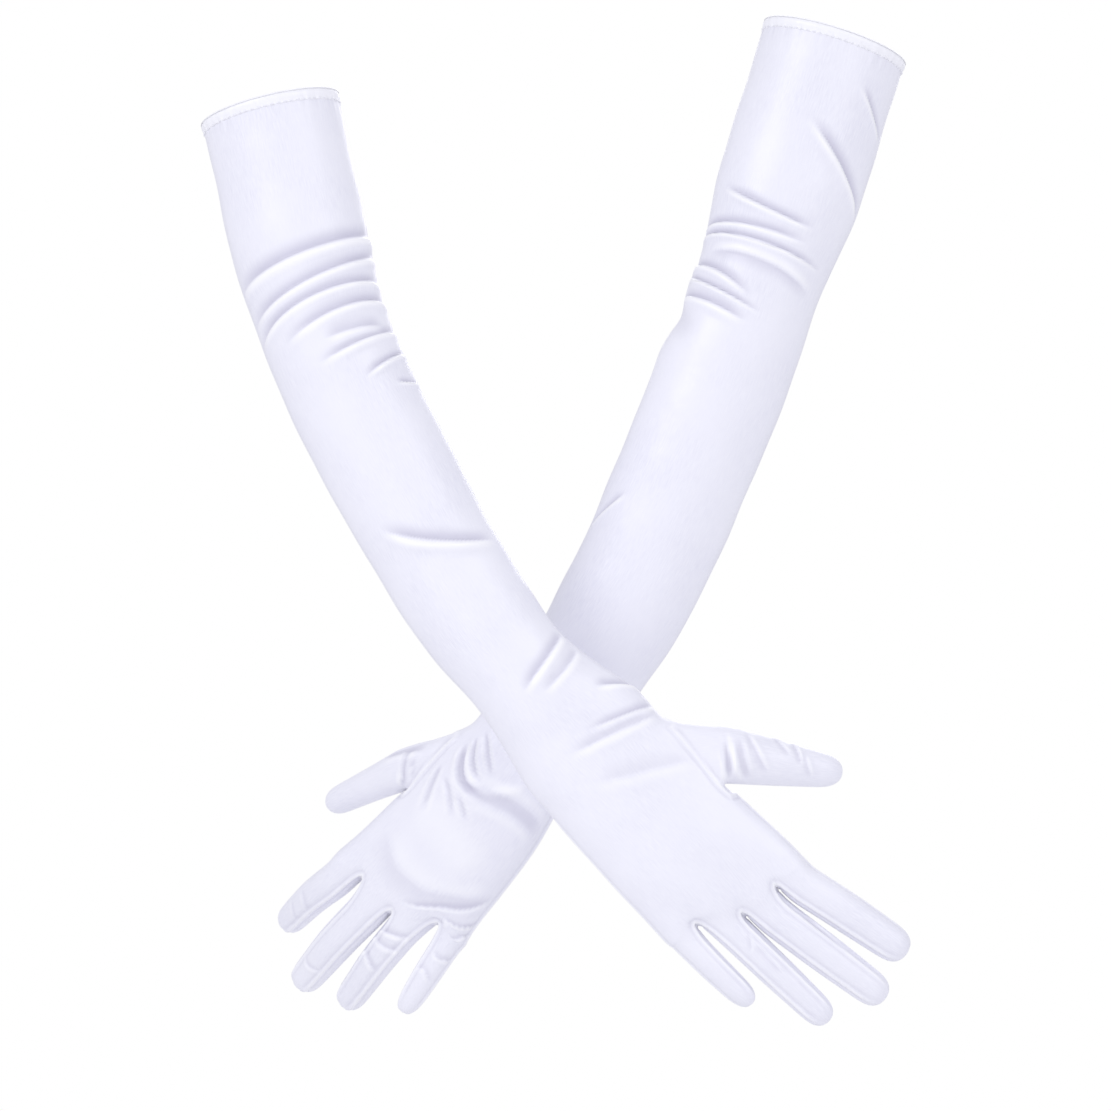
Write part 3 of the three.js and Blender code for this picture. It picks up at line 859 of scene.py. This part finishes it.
def build_glove(name, satin):
    arm = Arm(name)
    digits = {digit: Digit(arm, digit) for digit in DIGITS}
    surface = Surface(build_cage(arm, digits), arm.handed > 0)
    shades = fold_cloth(surface, arm, digits)
    zone_of = surface.zones.copy()
    spans = {}
    for number, digit in enumerate(DIGITS, 1):
        limb = digits[digit]
        lengths = THUMB_BEND if digit == "thumb" else FINGER_BEND
        spans[digit] = stretch(limb.pivot, limb.path.tangent(0), lengths)
        own = np.flatnonzero(surface.zones == number)
        zone_of[own[~turns(surface, own, *spans[digit])]] = HAND
    sleeve = cloth_piece(f"{name}_sleeve_cloth", surface, zone_of == ARM, shades, SLEEVE_RADIUS, satin)
    span = stretch(arm.path.at(arm.elbow), arm.path.tangent(arm.elbow), ELBOW_BEND)
    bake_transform(sleeve)
    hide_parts(*(f"{name}_{node}" for node in SLEEVE_NODES))
    hand = cloth_piece(f"{name}_hand_cloth", surface, zone_of == HAND, shades, SLEEVE_RADIUS, satin)
    span = stretch(arm.path.at(arm.wrist), arm.path.tangent(arm.wrist), WRIST_BEND)
    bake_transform(hand)
    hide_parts(*(f"{name}_{node}" for node in HAND_NODES))
    for number, digit in enumerate(DIGITS, 1):
        piece = cloth_piece(f"{name}_{digit}_cloth", surface, zone_of == number, shades, DIGIT_RADIUS, satin)
        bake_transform(piece)
        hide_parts(*(node for node in frame["nodes"] if node in digit_nodes(name, digit)))
    return arm


def digit_nodes(name, digit):
    if digit == "thumb":
        return [f"{name}_thumb", f"{name}_thumb_gusset_band"]
    parts = ("knuckle_band", "back_panel", "palm_panel", "radial_fourchette", "ulnar_fourchette")
    return [f"{name}_{digit}_{part}" for part in parts]


# ---- Hem, elastic and thread ----


def swept(name, arm, section, material, bend=None, shade=0.0):
    """A closed ring. Its section is a loop of (length along the arm, distance out of the sleeve)."""
    points, faces, uv = [], [], []
    count = len(section)
    step = math.tau * SLEEVE_RADIUS / HEM_COLUMNS
    for k in range(HEM_COLUMNS):
        turn = k / HEM_COLUMNS
        for s, out in section:
            half_width, half_depth = arm.size(np.array(s)) + out + (bend(turn, s) if bend else 0)
            points.append(ring_point(arm.frame(s), half_width, half_depth, math.tau * turn))
        for i in range(count):
            corners = [(k, i), (k, i + 1), (k + 1, i + 1), (k + 1, i)]
            if arm.handed < 0:
                corners.reverse()
            faces.append([(column % HEM_COLUMNS) * count + row % count for column, row in corners])
            uv += [(column * step, row * CLOTH) for column, row in corners]
    mesh = bpy.data.meshes.new(name)
    mesh.from_pydata([tuple(p) for p in points], [], faces)
    mesh.uv_layers.new(name="cloth").data.foreach_set("uv", np.array(uv).ravel())
    # Every point of the ring carries the same painted shade; below 0 it is a painted highlight.
    mesh.attributes.new("fold", "FLOAT", "POINT").data.foreach_set("value", np.full(len(points), shade))
    mesh.polygons.foreach_set("use_smooth", np.ones(len(faces), bool))
    mesh.materials.append(material)
    mesh.update()
    return link(name, mesh)


def hem_section():
    """The turned hem: out of the sleeve and up, over a roll at the opening, and down inside."""
    outer = [(STITCH_LINE + 0.5 * MM, 0.02 * MM), (STITCH_LINE, 0.12 * MM)]
    bulge = np.linspace(0.12, 0.9, 7)
    outer += [(STITCH_LINE * (1 - t), ROLL * math.sin(math.pi * min(1, 0.5 + 0.5 * t) * t)) for t in bulge]
    radius = (ROLL + 1.6 * MM) / 2
    over = [math.pi * k / 8 for k in range(9)]
    outer += [(0.6 * MM - radius * 0.7 * math.sin(a), ROLL - radius * (1 - math.cos(a))) for a in over]
    outer += [(STITCH_LINE * t, -1.7 * MM) for t in (0.35, 0.7, 1.0, 1.2)]
    inner = []
    for (s0, o0), (s1, o1), (s2, o2) in zip([outer[0], *outer[:-1]], outer, [*outer[1:], outer[-1]]):
        ahead = unit(np.array([s2 - s0, o2 - o0]))
        inner.append((s1 - ahead[1] * CLOTH, o1 + ahead[0] * CLOTH))
    return outer + inner[::-1]


def build_hem(arm, satin, elastic, thread):
    name = arm.name

    def gather(turn, s):
        return PUCKER * pucker(turn) * math.exp(-abs(s - STITCH_LINE) / (3 * MM))

    # The whole hem is painted lighter, a painted highlight standing in for the bright roll.
    hem = swept(f"{name}_hem_cloth", arm, hem_section(), satin, gather, shade=-0.5)
    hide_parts(f"{name}_cuff_hem")
    band = [(1 * MM, -0.1 * MM), (5 * MM, -0.1 * MM), (5 * MM, -0.6 * MM), (1 * MM, -0.6 * MM)]
    ring = swept(f"{name}_elastic_band", arm, band, elastic)
    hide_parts(f"{name}_cuff_elastic")
    stitches = build_stitches(arm, thread)
    for piece, finish in ((hem, "satin"), (ring, "elastic"), (stitches, "satin")):
        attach(piece, f"{name}_upper")


def build_stitches(arm, thread):
    """A line of short stitches all round the hem."""
    half_width, half_depth = arm.size(np.array(STITCH_LINE))
    count = round(math.pi * (half_width + half_depth) / STITCH_PITCH)
    sides, rings = 6, 7
    points, faces = [], []
    for i in range(count):
        first = len(points)
        for j in range(rings):
            share = j / (rings - 1)
            turn = (i + 0.14 + 0.72 * share) / count
            arch = math.sin(math.pi * share)
            radius = 0.25 * MM * max(0.25, arch**0.4)
            lift = 0.15 * MM + 0.35 * MM * arch + PUCKER * 0.8 * float(pucker(turn))
            middle = ring_point(arm.frame(STITCH_LINE), half_width + lift, half_depth + lift, math.tau * turn)
            _, along, side, back = arm.frame(STITCH_LINE)
            out = side * math.cos(math.tau * turn) + back * math.sin(math.tau * turn)
            for k in range(sides):
                angle = arm.handed * math.tau * k / sides
                points.append(middle + radius * (out * math.cos(angle) + along * math.sin(angle)))
        for j in range(rings - 1):
            for k in range(sides):
                a, b = first + j * sides + k, first + j * sides + (k + 1) % sides
                faces.append((a, a + sides, b + sides, b))
        faces.append(tuple(range(first, first + sides)))
        faces.append(tuple(range(first + rings * sides - 1, first + (rings - 1) * sides - 1, -1)))
    mesh = bpy.data.meshes.new(f"{arm.name}_hem_stitches")
    mesh.from_pydata([tuple(p) for p in points], [], faces)
    mesh.polygons.foreach_set("use_smooth", np.ones(len(faces), bool))
    mesh.materials.append(thread)
    return link(f"{arm.name}_hem_stitches", mesh)


# ---- Materials ----


class Shading:
    """A material's nodes, with short ways to add and join them."""

    def __init__(self, name, **inputs):
        self.material = bpy.data.materials.new(name)
        self.material.use_nodes = True
        self.tree = self.material.node_tree
        self.shader = self.tree.nodes["Principled BSDF"]
        for label, value in inputs.items():
            self.shader.inputs[label.replace("_", " ")].default_value = value

    def node(self, kind, **settings):
        node = self.tree.nodes.new(kind)
        for label, value in settings.items():
            setattr(node, label, value)
        return node

    def join(self, output, node, label):
        self.tree.links.new(output, node.inputs[label])

    def stretched(self, coordinates, scale):
        mapping = self.node("ShaderNodeMapping")
        mapping.inputs["Scale"].default_value = scale
        self.join(coordinates, mapping, "Vector")
        return mapping.outputs["Vector"]

    def noise(self, coordinates, scale, detail=2.0, stretch=(1, 1, 1)):
        noise = self.node("ShaderNodeTexNoise")
        noise.inputs["Scale"].default_value = scale
        noise.inputs["Detail"].default_value = detail
        self.join(self.stretched(coordinates, stretch), noise, "Vector")
        return noise.outputs["Fac"]

    def bump(self, height, distance, strength=1.0, normal=None):
        bump = self.node("ShaderNodeBump")
        bump.inputs["Distance"].default_value = distance
        bump.inputs["Strength"].default_value = strength
        self.join(height, bump, "Height")
        if normal:
            self.join(normal, bump, "Normal")
        return bump.outputs["Normal"]

    def mix(self, share, first, second):
        """A blend of two colours, each a value or an output."""
        mix = self.node("ShaderNodeMix", data_type="RGBA")
        self.join(share, mix, "Factor")
        for colour, slot in ((first, 6), (second, 7)):
            if isinstance(colour, tuple):
                mix.inputs[slot].default_value = colour
            else:
                self.tree.links.new(colour, mix.inputs[slot])
        return mix.outputs[2]

    def ramp(self, value, low, high):
        """A value carried from low..high to 0..1."""
        ramp = self.node("ShaderNodeMapRange")
        ramp.inputs["From Min"].default_value = low
        ramp.inputs["From Max"].default_value = high
        self.join(value, ramp, "Value")
        return ramp.outputs["Result"]


def satin_material():
    satin = Shading("white satin", Roughness=0.34, Anisotropic=0.45, Sheen_Weight=0.12, IOR=1.5)
    satin.shader.inputs["Sheen Roughness"].default_value = 0.4
    place = satin.node("ShaderNodeTexCoord")
    on_cloth = satin.node("ShaderNodeUVMap", uv_map="cloth").outputs["UV"]
    tangent = satin.node("ShaderNodeTangent", direction_type="UV_MAP", uv_map="cloth")
    satin.join(tangent.outputs["Tangent"], satin.shader, "Tangent")
    # Painted sheen: broad patches of lighter and darker colour stand in for the satin's soft sheen.
    painted_sheen_patches = satin.noise(place.outputs["Object"], 22, 3)
    streaks = satin.noise(on_cloth, 1, 3, (1800, 160, 1))
    colour = satin.mix(satin.ramp(painted_sheen_patches, 0.35, 0.65), PAINTED_SHEEN_DIM, PAINTED_SHEEN_BRIGHT)
    colour = satin.mix(satin.ramp(streaks, 0.75, 0.3), colour, STREAK)
    # Painted shade and highlight: the 'fold' attribute darkens the colour towards SHADOW in folds, puckers
    # and beside seams, and lightens it towards SHINE on ridges, raised seams and the hem.
    shade = satin.node("ShaderNodeAttribute", attribute_name="fold").outputs["Fac"]
    colour = satin.mix(satin.ramp(shade, 0.05, 1.1), colour, SHADOW)
    colour = satin.mix(satin.ramp(shade, -0.05, -0.7), colour, SHINE)
    satin.join(colour, satin.shader, "Base Color")
    weave = satin.noise(on_cloth, 1, 1, (3200, 900, 1))
    drift = satin.noise(place.outputs["Object"], 70, 2)
    normal = satin.bump(weave, 0.06 * MM, 0.5)
    normal = satin.bump(drift, 0.9 * MM, 0.6, normal)
    satin.join(normal, satin.shader, "Normal")
    return satin.material


def thread_material():
    thread = Shading("white thread", Roughness=0.55, Base_Color=(0.9, 0.9, 0.95, 1))
    place = thread.node("ShaderNodeTexCoord")
    twist = thread.noise(place.outputs["Object"], 2500, 1)
    thread.join(thread.bump(twist, 0.1 * MM), thread.shader, "Normal")
    return thread.material


def elastic_material():
    elastic = Shading("knitted elastic", Roughness=0.75)
    on_cloth = elastic.node("ShaderNodeUVMap", uv_map="cloth").outputs["UV"]
    ribs = elastic.noise(on_cloth, 1, 0, (1400, 60, 1))
    colour = elastic.mix(ribs, (0.78, 0.77, 0.74, 1), (0.9, 0.89, 0.86, 1))
    elastic.join(colour, elastic.shader, "Base Color")
    elastic.join(elastic.bump(ribs, 0.15 * MM), elastic.shader, "Normal")
    return elastic.material


satin, thread, elastic = satin_material(), thread_material(), elastic_material()
for name in ("right", "left"):
    build_hem(build_glove(name, satin), satin, elastic, thread)


# ---- Stage, light and camera ----

low, high = (np.array(corner) for corner in cad_box)
middle = (low + high) / 2
FLOOR_DROP = 0.5
VIEW_DISTANCE = 3.032
FRAME_WIDTH = 0.5555


def build_floor():
    bpy.ops.mesh.primitive_plane_add(size=5, location=(middle[0], 0, low[2] - FLOOR_DROP))
    floor = bpy.context.object
    floor.name = "floor"
    paint = Shading("pale floor", Roughness=0.8, Base_Color=(0.88, 0.88, 0.89, 1))
    floor.data.materials.append(paint.material)


def build_world():
    """White behind everything, and a softer, slightly cool light from all round."""
    world = bpy.data.worlds.new("studio")
    world.use_nodes = True
    nodes, links = world.node_tree.nodes, world.node_tree.links
    around = nodes["Background"]
    around.inputs["Color"].default_value = (0.93, 0.93, 1, 1)
    around.inputs["Strength"].default_value = 0.8
    seen = nodes.new("ShaderNodeBackground")
    seen.inputs["Color"].default_value = (1, 1, 1, 1)
    path = nodes.new("ShaderNodeLightPath")
    mix = nodes.new("ShaderNodeMixShader")
    links.new(path.outputs["Is Camera Ray"], mix.inputs[0])
    links.new(around.outputs[0], mix.inputs[1])
    links.new(seen.outputs[0], mix.inputs[2])
    links.new(mix.outputs[0], nodes["World Output"].inputs[0])
    bpy.context.scene.world = world


def soft_light(name, offset, size, energy):
    light = bpy.data.lights.new(name, "AREA")
    light.energy = energy
    light.size = size
    lamp = bpy.data.objects.new(name, light)
    bpy.context.scene.collection.objects.link(lamp)
    lamp.visible_camera = False
    lamp.location = Vector(middle) + Vector(offset)
    lamp.rotation_euler = (Vector(middle) - lamp.location).to_track_quat("-Z", "Y").to_euler()


def build_camera():
    data = bpy.data.cameras.new("camera")
    data.sensor_width = 36
    data.lens = 36 * (VIEW_DISTANCE - 0.032) / FRAME_WIDTH
    camera = bpy.data.objects.new("camera", data)
    camera.location = (-0.1415, -VIEW_DISTANCE, -0.2597)
    camera.rotation_euler = (math.radians(90), 0, 0)
    bpy.context.scene.collection.objects.link(camera)
    bpy.context.scene.camera = camera


build_floor()
build_world()
soft_light("key", (-1.3, -1.2, 1.0), 0.9, 8)
soft_light("fill", (1.3, -1.3, 0.7), 1.2, 5.5)
soft_light("back", (0.3, 1.8, 0.8), 1.2, 8)
soft_light("front", (-0.15, -0.5, -0.2), 0.35, 0.22)
build_camera()
bpy.context.scene.view_settings.view_transform = "Standard"
